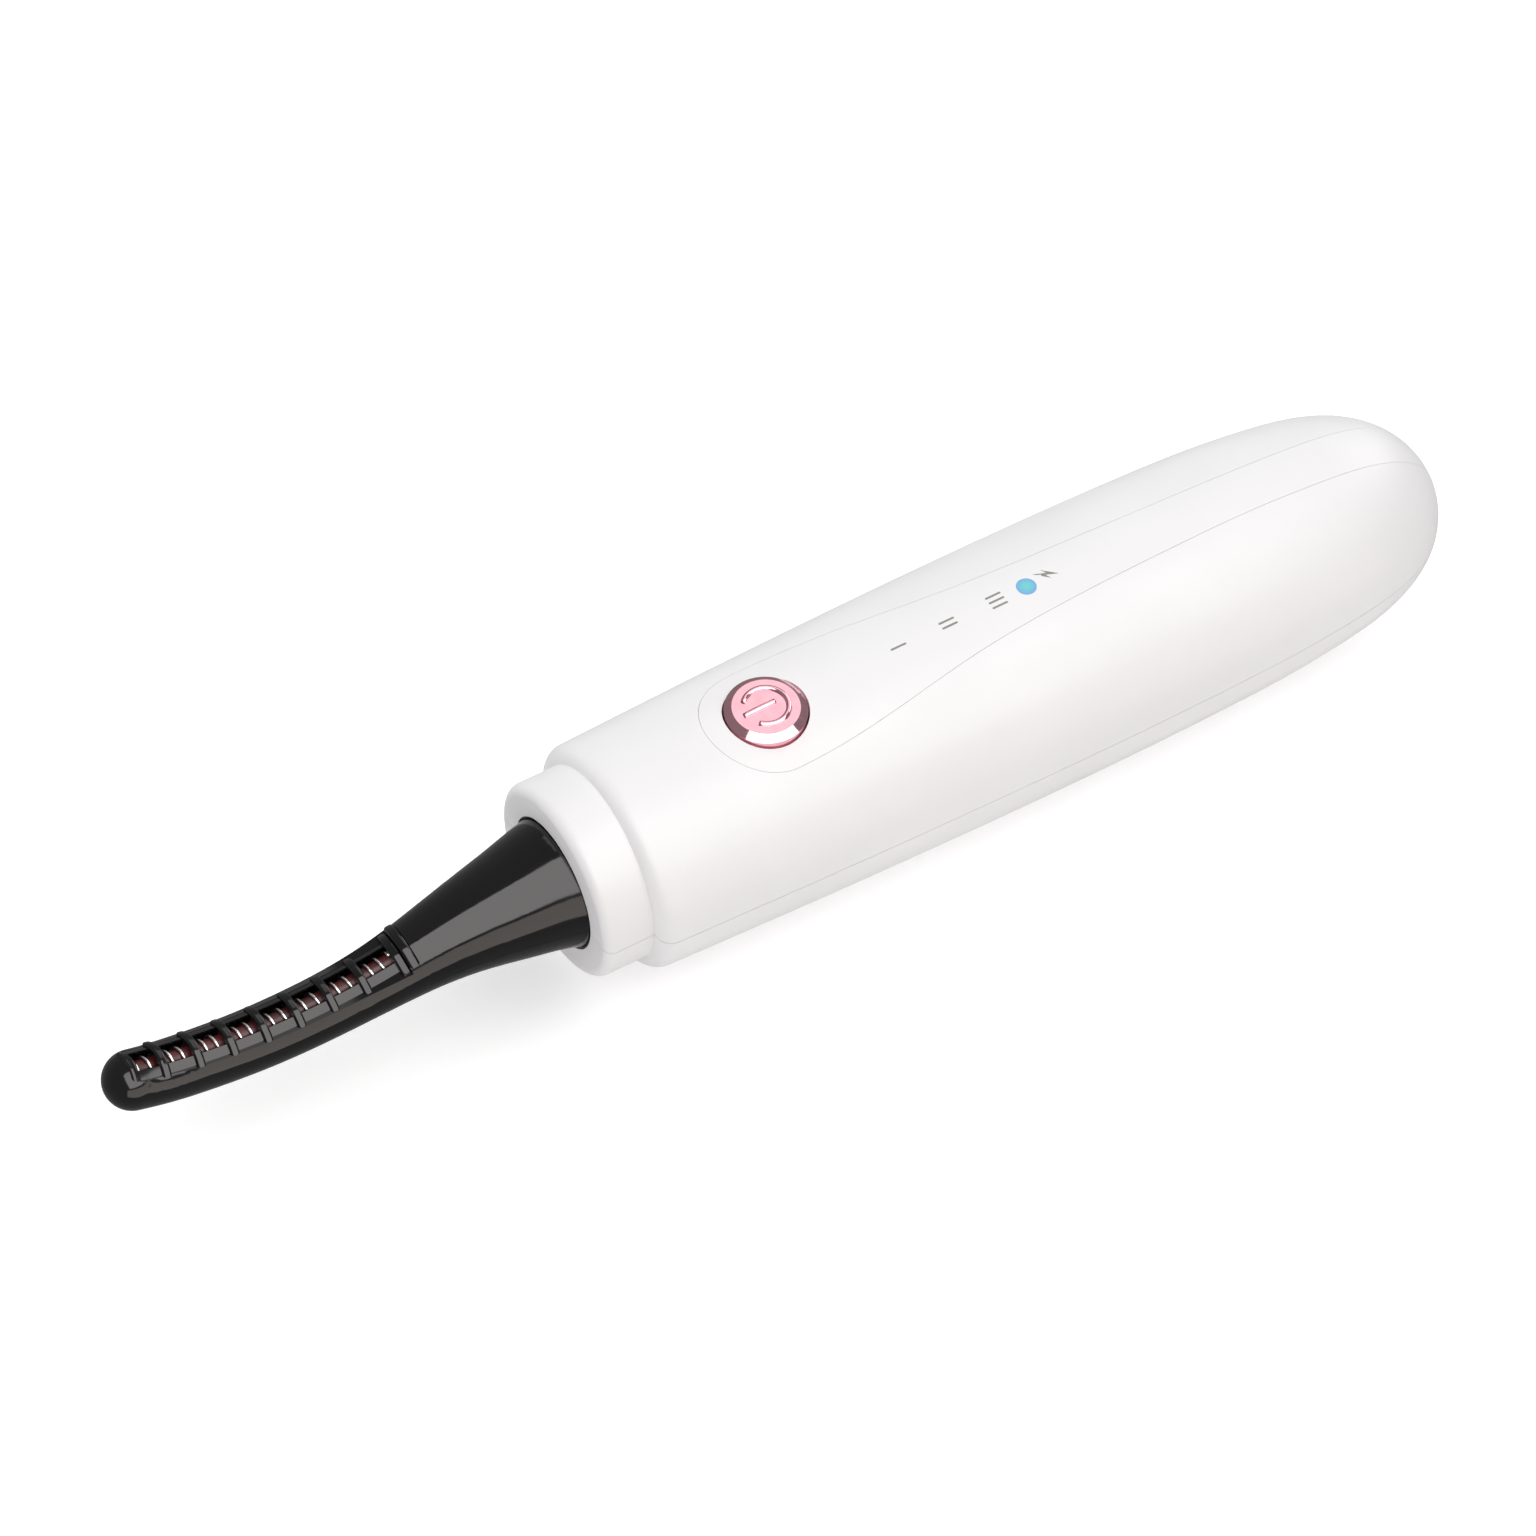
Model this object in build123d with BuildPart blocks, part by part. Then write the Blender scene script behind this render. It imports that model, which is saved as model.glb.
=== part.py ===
"""Heated eyelash curler: a rechargeable wand with a ribbed, curved heating comb.

Millimetres, +Z up, X along the handle with the head towards -X.  The origin is
under the middle of the wand, on the surface that its belly flat rests on.
Stations are distances behind the collar's front face, so the head has negative
ones, and heights are measured from the handle's axis.
"""

import os
from math import asin, cos, pi, radians, sin, tan

from build123d import *

# --- whole wand -----------------------------------------------------------
LENGTH = 140.0
HEAD_LENGTH = 45.2  # collar's front face to the tip
AXIS_HEIGHT = 11.03  # handle's axis above the belly flat
SOCKET_CUT = 0.2  # the socket's mouth takes this off the end of the rounded tail
TAIL = LENGTH - HEAD_LENGTH + SOCKET_CUT
FRONT_X = HEAD_LENGTH - LENGTH / 2

# --- handle ---------------------------------------------------------------
# half widths of the barrel from the shoulder to the rounded tail
BARREL = [(4.85, 11.0), (28, 11.73), (48.2, 12.03), (68.3, 11.82), (82.7, 10.62), (91, 7.55), (TAIL, 0)]
BARREL_FLARE = 0.036  # slope of the barrel where it leaves the shoulder
OVAL_WIDTH = 1.018  # across, against the round barrel
OVAL_HEIGHT = 0.943
WALL = 1.6
SHOULDER_ROUND = 1.5
COLLAR_RADIUS = 9.45
COLLAR_ROUND = 1.0
CAVITY_FRONT = 6.6
PARTING_GAP = 0.06
FIT_GAP = 0.05

# --- head seat in the collar ------------------------------------------------
MOUTH_RADIUS = 6.5
MOUTH_DEPTH = 1.6
FLANGE_RADIUS = 7.8
FLANGE_THICKNESS = 2.0
SHANK_RADIUS = 5.8
SHANK_END = 9.0
SHANK_BORE = 5.0

# --- head -----------------------------------------------------------------
# radius of the head at stations along its centreline
HEAD_SECTIONS = [
    (0, 6.27),
    (-4, 5.33),
    (-8.5, 4.42),
    (-13, 3.66),
    (-17, 3.22),
    (-21, 3.0),
    (-26, 2.91),
    (-31, 2.86),
    (-36.5, 2.81),
    (-42.5, 2.72),
]
NECK_START = -2.35  # the centreline is straight behind this and dips ahead of it
DIP_ANGLE = radians(11.9)
NECK_RUN = 13.15
LID_RADIUS = 52.0  # upward curve that follows an eyelid
ARCS_MEET = NECK_START - NECK_RUN
NECK_RADIUS = NECK_RUN / sin(DIP_ANGLE)
LOW_STATION = ARCS_MEET - LID_RADIUS * sin(DIP_ANGLE)
LOW_HEIGHT = -(NECK_RADIUS + LID_RADIUS) * (1 - cos(DIP_ANGLE))
HEAD_WALL = 0.9
SEAM = 0.05
DOME_STATION, DOME_RADIUS = HEAD_SECTIONS[-1]

# --- comb -----------------------------------------------------------------
COMB_REAR = -14.6
COMB_TIP = -43.8
COMB_EDGE = 1.9  # height of the comb's lower edge above the head's centreline
REAR_EDGE = 2.45  # the same under the rear arch
FOOT_GAP = 0.03  # the arches' feet stop just above the rails' lower edge
RAIL_RADIUS = 2.6
SLOT_HALF_WIDTH = 1.05
CHANNEL_RADIUS = 1.35  # round the heater, and under the arches
RIB_COUNT = 7
RIB_PITCH = 3.45
FIRST_RIB = -19.8
RIB_RADIUS = 2.92
RIB_THICKNESS = 0.84
ARCH_ROUND = 0.28
REAR_ARCH_RADIUS = 3.6
REAR_ARCH_LENGTH = 0.9
INNER_ARCH_RADIUS = 3.2
COMB_STEP = COMB_REAR - REAR_ARCH_LENGTH  # the comb's seat is deeper from here on
TIP_ARCH_RADIUS = 2.65

# --- heater ---------------------------------------------------------------
CORE_RADIUS = 0.85
CORE_LIFT = 1.2  # above the head's centreline
CORE_REAR = -12.8
CHANNEL_REAR = -12.5
COIL_WIRE = 0.3
COIL_PITCH = RIB_PITCH / 3
COIL_START = FIRST_RIB + RIB_PITCH
COIL_TURNS = 24
INSULATOR_LENGTH = 0.7
LEAD_DIAMETER = 0.7
LEAD_SPREAD = 1.0

# --- button, panel and light ------------------------------------------------
BUTTON_STATION = 21.9
BUTTON_RADIUS = 3.8
BUTTON_EDGE = 10.95  # height of the cap's rim
BUTTON_PLATEAU_RADIUS = 3.1
BUTTON_PLATEAU = 11.43  # height of its raised middle at the edge
BUTTON_CROWN = 11.65
BUTTON_DOME = 22.0  # radius of the middle's curve
BUTTON_WALL = 0.8
BUTTON_GAP = 0.15
BUTTON_FLANGE_RADIUS = 4.7
BUTTON_FLANGE_BOTTOM = 7.6
BUTTON_FLANGE_TOP = 8.2
STEM_RADIUS = 1.2
BUTTON_SEAT_RADIUS = 5.6
PANEL_DEPTH = 0.8
PANEL_GROOVE = 0.035
PANEL_HEAD_RADIUS = 6.0
PANEL_TAIL_HALF_WIDTH = 2.4
PANEL_TAIL_HEIGHT = 2.7  # where the panel ends on the tail, above the socket
LIGHT_STATION = 49.6
LIGHT_RADIUS = 0.95

# --- electronics ------------------------------------------------------------
BOARD_START, BOARD_END = 10.4, 60.0
BOARD_HALF_WIDTH = 6.4
BOARD_BOTTOM, BOARD_TOP = 4.2, 5.2
SCREW_STATIONS = (28.5, 56.5)
SCREW_SPREAD = 4.8
SCREW_RADIUS = 0.85
SCREW_HEAD_RADIUS = 1.6
BOSS_RADIUS = 2.0
SWITCH_SIDE = 4.5
SWITCH_HEIGHT = 1.5
PLUNGER_RADIUS = 1.0
PLUNGER_BOTTOM, PLUNGER_TOP = 6.1, 7.2
CELL_RADIUS = 5.0
CELL_LENGTH = 44.0
CELL_START = 34.8
CELL_HEIGHT = -2.0
TAB_THICKNESS = 0.3
SOCKET_WIDTH, SOCKET_THICKNESS = 8.94, 3.26
SOCKET_OPENING = (8.34, 2.56)
SOCKET_REAR, SOCKET_MOUTH = 86.2, 93.4
CHARGE_BOARD_START, CHARGE_BOARD_END = 83.6, 91.0
CHARGE_BOARD_HALF_WIDTH = 4.25
CHARGE_BOARD_TOP = -SOCKET_THICKNESS / 2
BOARD_THICKNESS = BOARD_TOP - BOARD_BOTTOM

BLOCK = 40.0  # cutting blocks reach past the handle all round
BLOCK_TOP = 14.0  # the same round the head

UP = (Align.CENTER, Align.CENTER, Align.MIN)
DOWN = (Align.CENTER, Align.CENTER, Align.MAX)
BACK = (Align.MIN, Align.CENTER, Align.CENTER)
SIDE = Plane(origin=(FRONT_X, 0, AXIS_HEIGHT), x_dir=(1, 0, 0), z_dir=(0, -1, 0))


def spot(station, side, height):
    """Point at a station, to the side of the axis and above it."""
    return (FRONT_X + station, side, AXIS_HEIGHT + height)


def level(height):
    """Horizontal plane at a height, with stations along its x."""
    return Plane(origin=spot(0, 0, height), x_dir=(1, 0, 0), z_dir=(0, 0, 1))


def across(station):
    """Plane square to the axis, facing the tail."""
    return Plane(origin=spot(station, 0, 0), x_dir=(0, 1, 0), z_dir=(1, 0, 0))


def head_plane(station, lift=0.0):
    """Plane square to the head's centreline and facing the tip, lifted towards its open side."""
    if station >= NECK_START:
        tilt, height = 0.0, 0.0
    elif station > ARCS_MEET:
        tilt = -asin((NECK_START - station) / NECK_RADIUS)
        height = -NECK_RADIUS * (1 - cos(tilt))
    else:
        tilt = asin((LOW_STATION - station) / LID_RADIUS)
        height = LOW_HEIGHT + LID_RADIUS * (1 - cos(tilt))
    origin = spot(station + lift * sin(tilt), 0, height + lift * cos(tilt))
    return Plane(origin=origin, x_dir=(0, -1, 0), z_dir=(-cos(tilt), 0, sin(tilt)))


def head_point(station, lift=0.0):
    """The same place as a point of the SIDE plane."""
    origin = head_plane(station, lift).origin
    return (origin.X - FRONT_X, origin.Z - AXIS_HEIGHT)


def save(name, part):
    """Label a finished piece and write it."""
    part.label = name
    export_step(part, f"parts/{name}.step")


def barrel_outline(inset):
    """Points of the barrel's half outline, moved in square to its skin."""
    with BuildLine() as skin:
        Spline(*BARREL, tangents=((1, BARREL_FLARE), (0, -1)))
    edge = skin.edge()
    steps = 2 * len(BARREL)
    outline = []
    for step in range(steps + 1):
        outward = (edge % (step / steps)).rotate(Axis.Z, 90)
        outline.append(edge @ (step / steps) - outward * inset)
    return outline


def barrel(inset):
    """Oval barrel of the handle, drawn in from its skin."""
    outline = barrel_outline(inset)
    with BuildPart() as body:
        with BuildSketch(Plane.XZ):
            with BuildLine():
                Spline(*outline, tangents=((1, BARREL_FLARE), (0, -1)))
                Polyline(outline[-1], (outline[0].X, 0), outline[0])
            make_face()
        revolve(axis=Axis.X)
        if inset == 0:
            front_edge = body.faces().sort_by(Axis.X)[0].edges()
            fillet(front_edge, radius=SHOULDER_ROUND)
        scale(by=(1, OVAL_WIDTH, OVAL_HEIGHT))
    return body.part.moved(Location(spot(0, 0, 0)))


def head_loft(inset, sections):
    """Round body along the head's centreline."""
    with BuildPart() as body:
        for station, radius in sections:
            with BuildSketch(head_plane(station)):
                Circle(radius - inset)
        loft()
    return body.part


def head_rod(radius, rear, tip, lift=0.0):
    """Round rod of one radius along the eyelid curve."""
    middle = (rear + tip) / 2
    with BuildPart() as rod:
        with BuildLine(SIDE) as route:
            ThreePointArc(lid_point(rear, lift), lid_point(middle, lift), lid_point(tip, lift))
        with BuildSketch(Plane(origin=route.line @ 0, z_dir=route.line % 0)):
            Circle(radius)
        sweep()
    return rod.part


def lid_point(station, lift):
    """Point of the SIDE plane on the eyelid curve, carried on behind its start."""
    tilt = asin((LOW_STATION - station) / LID_RADIUS)
    radius = LID_RADIUS - lift
    return (LOW_STATION - radius * sin(tilt), LOW_HEIGHT + LID_RADIUS - radius * cos(tilt))


def above_centreline(lift, rear, tip):
    """Block of everything above the lifted centreline between two stations."""
    joints = [s for s in (NECK_START, ARCS_MEET) if tip < s < rear]
    stops = [rear, *joints, tip]
    with BuildPart() as block:
        with BuildSketch(SIDE):
            with BuildLine():
                for start, end in zip(stops, stops[1:]):
                    if start > NECK_START:
                        Line(head_point(start, lift), head_point(end, lift))
                    else:
                        stations = (start, (start + end) / 2, end)
                        ThreePointArc(*(head_point(station, lift) for station in stations))
                rear_side = (head_point(rear, BLOCK_TOP), head_point(rear, lift))
                Polyline(head_point(tip, lift), head_point(tip, BLOCK_TOP), *rear_side)
            make_face()
        extrude(amount=BLOCK_TOP, both=True)
    return block.part


def lead(points, diameter):
    """Round wire through the points, with each bend as wide as its two runs allow."""
    places = [Vector(*spot(*point)) for point in points]
    bends = []
    for before, corner, after in zip(places, places[1:], places[2:]):
        turn = radians((corner - before).get_angle(after - corner))
        shorter = min((corner - before).length, (after - corner).length)
        bends.append(0.45 * shorter / tan(turn / 2))
    with BuildPart() as wire:
        with BuildLine() as route:
            FilletPolyline(*places, radius=bends)
        with BuildSketch(Plane(origin=route.line @ 0, z_dir=route.line % 0)):
            Circle(diameter / 2)
        sweep()
    length = sum(edge.length for edge in route.edges())
    fill = wire.part.volume / (length * pi * diameter**2 / 4)
    print(f"lead {length:.1f} mm, bends from {min(bends):.1f} mm, volume {fill:.3f} of section times length")
    return wire.part


os.makedirs("parts", exist_ok=True)

# --- forms that several pieces share ------------------------------------------
outer_barrel = barrel(0)
inner_barrel = barrel(WALL)

with BuildPart() as handle_form:
    add(outer_barrel)
    with BuildSketch(across(0)):
        Circle(COLLAR_RADIUS)
    extrude(amount=CAVITY_FRONT + WALL)
    collar_edge = handle_form.faces().sort_by(Axis.X)[0].edges()
    fillet(collar_edge, radius=COLLAR_ROUND)
    with Locations((0, 0, 0)):
        Box(LENGTH, BLOCK, BLOCK, align=DOWN, mode=Mode.SUBTRACT)  # belly flat

with BuildPart() as head_seat:
    with BuildSketch(across(0)):
        Circle(MOUTH_RADIUS)
    extrude(amount=MOUTH_DEPTH)
    with BuildSketch(across(MOUTH_DEPTH)):
        Circle(FLANGE_RADIUS)
    extrude(amount=FLANGE_THICKNESS)
    with BuildSketch(across(MOUTH_DEPTH + FLANGE_THICKNESS)):
        Circle(SHANK_RADIUS)
    extrude(amount=CAVITY_FRONT)

with BuildPart() as cavity_form:
    add(inner_barrel)
    with Locations(spot(CAVITY_FRONT, 0, 0)):
        Box(BLOCK, BLOCK, BLOCK, align=(Align.MAX, Align.CENTER, Align.CENTER), mode=Mode.SUBTRACT)

with BuildPart() as socket_opening:
    with BuildSketch(across(SOCKET_REAR)):
        SlotOverall(SOCKET_WIDTH + 2 * FIT_GAP, SOCKET_THICKNESS + 2 * FIT_GAP)
    extrude(amount=20)

# --- upper housing ----------------------------------------------------------
with BuildPart() as upper_cavity:
    add(cavity_form.part)
    with BuildSketch(level(BUTTON_FLANGE_TOP)):
        with Locations((BUTTON_STATION, 0)):
            Circle(BUTTON_SEAT_RADIUS)
    extrude(amount=10, mode=Mode.SUBTRACT)
    with BuildSketch(level(BOARD_TOP)):
        for screw_station in SCREW_STATIONS:
            with Locations((screw_station, SCREW_SPREAD), (screw_station, -SCREW_SPREAD)):
                Circle(BOSS_RADIUS)
    extrude(amount=10, mode=Mode.SUBTRACT)


def panel_outline(margin):
    """Keyhole outline round the button that narrows towards the tail."""
    with BuildSketch(level(0)) as outline:
        with Locations((BUTTON_STATION, 0)):
            Circle(PANEL_HEAD_RADIUS + margin)
        with BuildLine():
            near = [(BUTTON_STATION, 6.0), (41.9, 3.85), (61.9, 2.66), (75, PANEL_TAIL_HALF_WIDTH)]
            near = [(station, side + margin) for station, side in near]
            far = [(station, -side) for station, side in reversed(near)]
            end = TAIL + WALL
            Spline(*near, tangents=((1, 0), (1, 0)))
            Polyline(near[-1], (end, near[-1][1]), (end, far[0][1]), far[0])
            Spline(*far, tangents=((-1, 0), (-1, 0)))
            Line(far[-1], near[0])
        make_face()
    return outline.sketch


def panel_block(margin):
    """Everything under the panel's outline, down to the panel's end on the tail."""
    with BuildPart() as block:
        add(panel_outline(margin))
        extrude(amount=20)
        with Locations(spot(TAIL / 2, 0, 0)):
            Box(LENGTH, BLOCK, PANEL_TAIL_HEIGHT - margin, align=UP, mode=Mode.SUBTRACT)
    return block.part


panel_floor = barrel(PANEL_DEPTH)

with BuildPart() as panel_pocket:
    add(panel_block(PANEL_GROOVE))
    add(panel_floor, mode=Mode.SUBTRACT)

with BuildPart() as upper_housing:
    add(handle_form.part)
    add(head_seat.part, mode=Mode.SUBTRACT)
    add(upper_cavity.part, mode=Mode.SUBTRACT)
    add(socket_opening.part, mode=Mode.SUBTRACT)
    add(panel_pocket.part, mode=Mode.SUBTRACT)
    with Locations(spot(TAIL / 2, 0, PARTING_GAP / 2)):
        Box(2 * LENGTH, BLOCK, BLOCK, align=DOWN, mode=Mode.SUBTRACT)
    with BuildSketch(level(0)):
        with Locations((BUTTON_STATION, 0)):
            Circle(BUTTON_RADIUS + BUTTON_GAP)
        with Locations((LIGHT_STATION, 0)):
            Circle(LIGHT_RADIUS + FIT_GAP)
    extrude(amount=20, mode=Mode.SUBTRACT)
    with BuildSketch(level(BOARD_TOP)):
        for screw_station in SCREW_STATIONS:
            with Locations((screw_station, SCREW_SPREAD), (screw_station, -SCREW_SPREAD)):
                Circle(SCREW_RADIUS + FIT_GAP)
    extrude(amount=2.6, mode=Mode.SUBTRACT)
save("upper_housing", upper_housing.part)

with BuildPart() as top_panel:
    add(panel_block(0))
    add(handle_form.part, mode=Mode.INTERSECT)
    add(panel_floor, mode=Mode.SUBTRACT)
    with BuildSketch(level(0)):
        with Locations((BUTTON_STATION, 0)):
            Circle(BUTTON_RADIUS + BUTTON_GAP)
        with Locations((LIGHT_STATION, 0)):
            Circle(LIGHT_RADIUS + FIT_GAP)
    extrude(amount=20, mode=Mode.SUBTRACT)
save("top_panel", top_panel.part)

# --- lower housing ----------------------------------------------------------
CRADLE_STATIONS = (41.0, 57.0, 73.0)
REST_STATIONS = (84.6, 89.2)
RIB_WIDTH = 1.2

with BuildPart() as lower_cavity:
    add(cavity_form.part)
    for cradle in CRADLE_STATIONS:
        with Locations(spot(cradle, 0, CELL_HEIGHT)):
            Box(RIB_WIDTH, BLOCK, BLOCK, align=DOWN, mode=Mode.SUBTRACT)
    for rest in REST_STATIONS:
        with Locations(spot(rest, 0, CHARGE_BOARD_TOP - BOARD_THICKNESS)):
            Box(RIB_WIDTH, BLOCK, BLOCK, align=DOWN, mode=Mode.SUBTRACT)

with BuildPart() as lower_housing:
    add(handle_form.part)
    add(head_seat.part, mode=Mode.SUBTRACT)
    add(lower_cavity.part, mode=Mode.SUBTRACT)
    add(socket_opening.part, mode=Mode.SUBTRACT)
    with Locations(spot(TAIL / 2, 0, -PARTING_GAP / 2)):
        Box(2 * LENGTH, BLOCK, BLOCK, align=UP, mode=Mode.SUBTRACT)
    with BuildSketch(Plane(origin=spot(CELL_START, 0, CELL_HEIGHT), x_dir=(0, 1, 0), z_dir=(1, 0, 0))):
        Circle(CELL_RADIUS + FIT_GAP)
    extrude(amount=CELL_LENGTH, mode=Mode.SUBTRACT)
save("lower_housing", lower_housing.part)

# --- head shells ------------------------------------------------------------
neck_sections = [section for section in HEAD_SECTIONS if section[0] >= -13]

with BuildPart() as head_hollow:
    add(head_loft(HEAD_WALL, neck_sections))
    with BuildSketch(across(-0.01)):
        Circle(SHANK_BORE)
    extrude(amount=SHANK_END + 1)
    add(head_rod(CHANNEL_RADIUS, CHANNEL_REAR, COMB_TIP, CORE_LIFT))

with BuildPart() as head_form:
    add(head_loft(0, HEAD_SECTIONS))
    with Locations(Location(head_plane(DOME_STATION))):
        Sphere(DOME_RADIUS)
    with BuildSketch(across(0)):
        Circle(HEAD_SECTIONS[0][1])
    extrude(amount=MOUTH_DEPTH)
    with BuildSketch(across(MOUTH_DEPTH)):
        Circle(FLANGE_RADIUS - FIT_GAP)
    extrude(amount=FLANGE_THICKNESS)
    with BuildSketch(across(MOUTH_DEPTH + FLANGE_THICKNESS)):
        Circle(SHANK_RADIUS - FIT_GAP)
    extrude(amount=SHANK_END - MOUTH_DEPTH - FLANGE_THICKNESS)
    add(head_hollow.part, mode=Mode.SUBTRACT)

with BuildPart() as head_upper:
    add(head_form.part)
    add(above_centreline(SEAM / 2, SHANK_END + 1, COMB_REAR), mode=Mode.INTERSECT)
save("head_upper", head_upper.part)

with BuildPart() as head_lower:
    add(head_form.part)
    add(above_centreline(-SEAM / 2, SHANK_END + 1, COMB_REAR), mode=Mode.SUBTRACT)
    add(above_centreline(REAR_EDGE, COMB_REAR, COMB_STEP), mode=Mode.SUBTRACT)
    add(above_centreline(COMB_EDGE, COMB_STEP, COMB_TIP), mode=Mode.SUBTRACT)
save("head_lower", head_lower.part)

# --- comb -------------------------------------------------------------------
def comb_section(radius, floor):
    """Part of a round section that stands above a floor and clear of the heater's channel."""
    with BuildSketch() as section:
        Circle(radius)
        with Locations((0, CORE_LIFT)):
            Circle(CHANNEL_RADIUS, mode=Mode.SUBTRACT)
        with Locations((0, floor)):
            Rectangle(4 * radius, 4 * radius, align=(Align.CENTER, Align.MAX), mode=Mode.SUBTRACT)
    return section.sketch


def comb_arch(radius, rear, tip, floor=COMB_EDGE):
    """Arch across the comb between two stations, with rounded outer edges."""
    with BuildPart() as arch:
        add(comb_section(radius, floor + FOOT_GAP))
        extrude(amount=(rear - tip) / 2, both=True)
        outer = arch.edges().filter_by(GeomType.CIRCLE).group_by(SortBy.RADIUS)[-1]
        fillet(outer, radius=ARCH_ROUND)
    return arch.part.moved(Location(head_plane((rear + tip) / 2)))


with BuildPart() as comb_guard:
    rail_tip = COMB_TIP + RIB_THICKNESS / 2
    with BuildLine(SIDE) as rail_route:
        rail_middle = (COMB_STEP + rail_tip) / 2
        ThreePointArc(lid_point(COMB_STEP, 0), lid_point(rail_middle, 0), lid_point(rail_tip, 0))
    with BuildSketch(Plane(origin=rail_route.line @ 0, x_dir=(0, -1, 0), z_dir=rail_route.line % 0)):
        add(comb_section(RAIL_RADIUS, COMB_EDGE))
        Rectangle(2 * SLOT_HALF_WIDTH, 4 * RAIL_RADIUS, mode=Mode.SUBTRACT)
    sweep()
    for rib in range(RIB_COUNT):
        rib_rear = FIRST_RIB - rib * RIB_PITCH + RIB_THICKNESS / 2
        add(comb_arch(RIB_RADIUS, rib_rear, rib_rear - RIB_THICKNESS))
    add(comb_arch(REAR_ARCH_RADIUS, COMB_REAR, COMB_STEP - FOOT_GAP, REAR_EDGE))
    add(comb_arch(INNER_ARCH_RADIUS, COMB_STEP, COMB_STEP - REAR_ARCH_LENGTH))
    add(comb_arch(TIP_ARCH_RADIUS, COMB_TIP + RIB_THICKNESS, COMB_TIP))
save("comb_guard", comb_guard.part)

# --- heater -----------------------------------------------------------------
heating_core = head_rod(CORE_RADIUS, CORE_REAR, COMB_TIP, CORE_LIFT)
save("heating_core", heating_core)

with BuildPart() as heating_coil:
    for turn in range(COIL_TURNS):
        with Locations(Location(head_plane(COIL_START - turn * COIL_PITCH, CORE_LIFT))):
            Torus(CORE_RADIUS + FIT_GAP / 2 + COIL_WIRE / 2, COIL_WIRE / 2)
save("heating_coil", heating_coil.part)


def insulator(rear):
    """Ceramic ring that centres the core in the head's channel."""
    tip = rear - INSULATOR_LENGTH
    with BuildPart() as ring:
        add(head_rod(CHANNEL_RADIUS - FIT_GAP, rear, tip, CORE_LIFT))
        add(head_rod(CORE_RADIUS + FIT_GAP / 2, rear + 1, tip - 1, CORE_LIFT), mode=Mode.SUBTRACT)
    return ring.part


save("rear_insulator", insulator(COMB_REAR + INSULATOR_LENGTH))
save("tip_insulator", insulator(COMB_TIP + INSULATOR_LENGTH + 0.1))

with BuildPart() as heater_leads:
    for side in (-LEAD_SPREAD, LEAD_SPREAD):
        route = [
            (CORE_REAR + 1.0, side, -0.3),
            (-8.0, side * 1.4, 0.4),
            (-1.0, side * 1.8, 0.9),
            (5.5, side * 2.2, 2.2),
            (11.0, side * 2.2, BOARD_BOTTOM - LEAD_DIAMETER / 2),
            (15.0, side * 2.2, BOARD_BOTTOM - LEAD_DIAMETER / 2),
        ]
        add(lead(route, LEAD_DIAMETER))
save("heater_leads", heater_leads.part)

# --- button and switch --------------------------------------------------------
with BuildPart() as power_button:
    with BuildSketch(SIDE):
        with BuildLine():
            crown = (BUTTON_STATION, BUTTON_CROWN)
            plateau_edge = (BUTTON_STATION + BUTTON_PLATEAU_RADIUS, BUTTON_PLATEAU)
            Polyline(
                crown,
                (BUTTON_STATION, BUTTON_FLANGE_BOTTOM),
                (BUTTON_STATION + BUTTON_FLANGE_RADIUS, BUTTON_FLANGE_BOTTOM),
                (BUTTON_STATION + BUTTON_FLANGE_RADIUS, BUTTON_FLANGE_TOP - FIT_GAP),
                (BUTTON_STATION + BUTTON_RADIUS, BUTTON_FLANGE_TOP - FIT_GAP),
                (BUTTON_STATION + BUTTON_RADIUS, BUTTON_EDGE),
                plateau_edge,
            )
            RadiusArc(crown, plateau_edge, BUTTON_DOME)
        make_face()
    revolve(axis=Axis(spot(BUTTON_STATION, 0, 0), (0, 0, 1)))
    with BuildSketch(level(BUTTON_FLANGE_BOTTOM)):
        with Locations((BUTTON_STATION, 0)):
            Circle(BUTTON_RADIUS - BUTTON_WALL)
            Circle(STEM_RADIUS, mode=Mode.SUBTRACT)
    extrude(amount=BUTTON_EDGE - BUTTON_WALL - BUTTON_FLANGE_BOTTOM, mode=Mode.SUBTRACT)
    with Locations(spot(BUTTON_STATION, 0, PLUNGER_TOP + FIT_GAP)):
        Cylinder(STEM_RADIUS, BUTTON_WALL, align=UP)
save("power_button", power_button.part)

with BuildPart() as switch_plunger:
    with Locations(spot(BUTTON_STATION, 0, PLUNGER_BOTTOM)):
        Cylinder(PLUNGER_RADIUS, PLUNGER_TOP - PLUNGER_BOTTOM, align=UP)
save("switch_plunger", switch_plunger.part)

with BuildPart() as switch_body:
    with Locations(spot(BUTTON_STATION, 0, BOARD_TOP)):
        Box(SWITCH_SIDE, SWITCH_SIDE, SWITCH_HEIGHT, align=UP)
    with Locations(spot(BUTTON_STATION, 0, BOARD_TOP + 0.4)):
        Cylinder(PLUNGER_RADIUS + 2 * FIT_GAP, SWITCH_HEIGHT, align=UP, mode=Mode.SUBTRACT)
save("switch_body", switch_body.part)

# --- indicator light ----------------------------------------------------------
LED_HEIGHT = 0.8

with BuildPart() as indicator_led:
    with Locations(spot(LIGHT_STATION, 0, BOARD_TOP)):
        Box(2.0, 1.25, LED_HEIGHT, align=UP)
save("indicator_led", indicator_led.part)

with BuildPart() as light_pipe:
    with Locations(spot(LIGHT_STATION, 0, BOARD_TOP + LED_HEIGHT)):
        Cylinder(LIGHT_RADIUS, 10, align=UP)
    add(outer_barrel, mode=Mode.INTERSECT)
save("light_pipe", light_pipe.part)

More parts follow.
